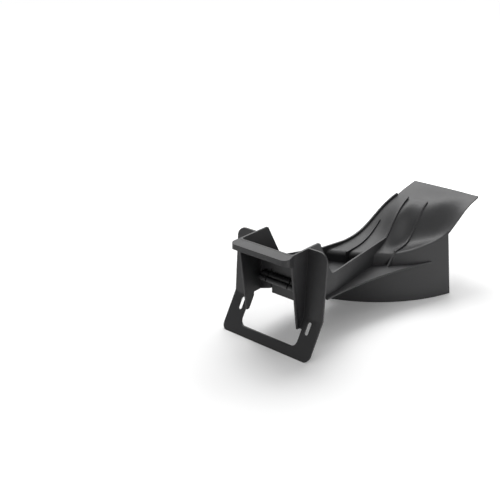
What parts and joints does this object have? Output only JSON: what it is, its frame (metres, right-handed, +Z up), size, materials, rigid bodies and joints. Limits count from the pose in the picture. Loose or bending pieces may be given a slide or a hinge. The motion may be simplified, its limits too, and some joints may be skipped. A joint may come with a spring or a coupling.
{
  "type": "mower mulching plug",
  "caption": "Moulded plug for a lawn mower's rear discharge channel: slotted front frame, side walls with a handle ledge, ribbed ramp and curved closing wall.",
  "frame": {"origin": "middle of the front frame's lower edge, on the ground", "axes": "+Z up as it stands, +Y from the front frame to the tail, +X to the side where the closing wall runs on"},
  "size_m": [0.1976, 0.409, 0.152],
  "materials": {
    "black_plastic": "satin black, finely grained"
  },
  "bodies": {
    "root": {"mulching_plug": "black_plastic"}
  },
  "joints": []
}
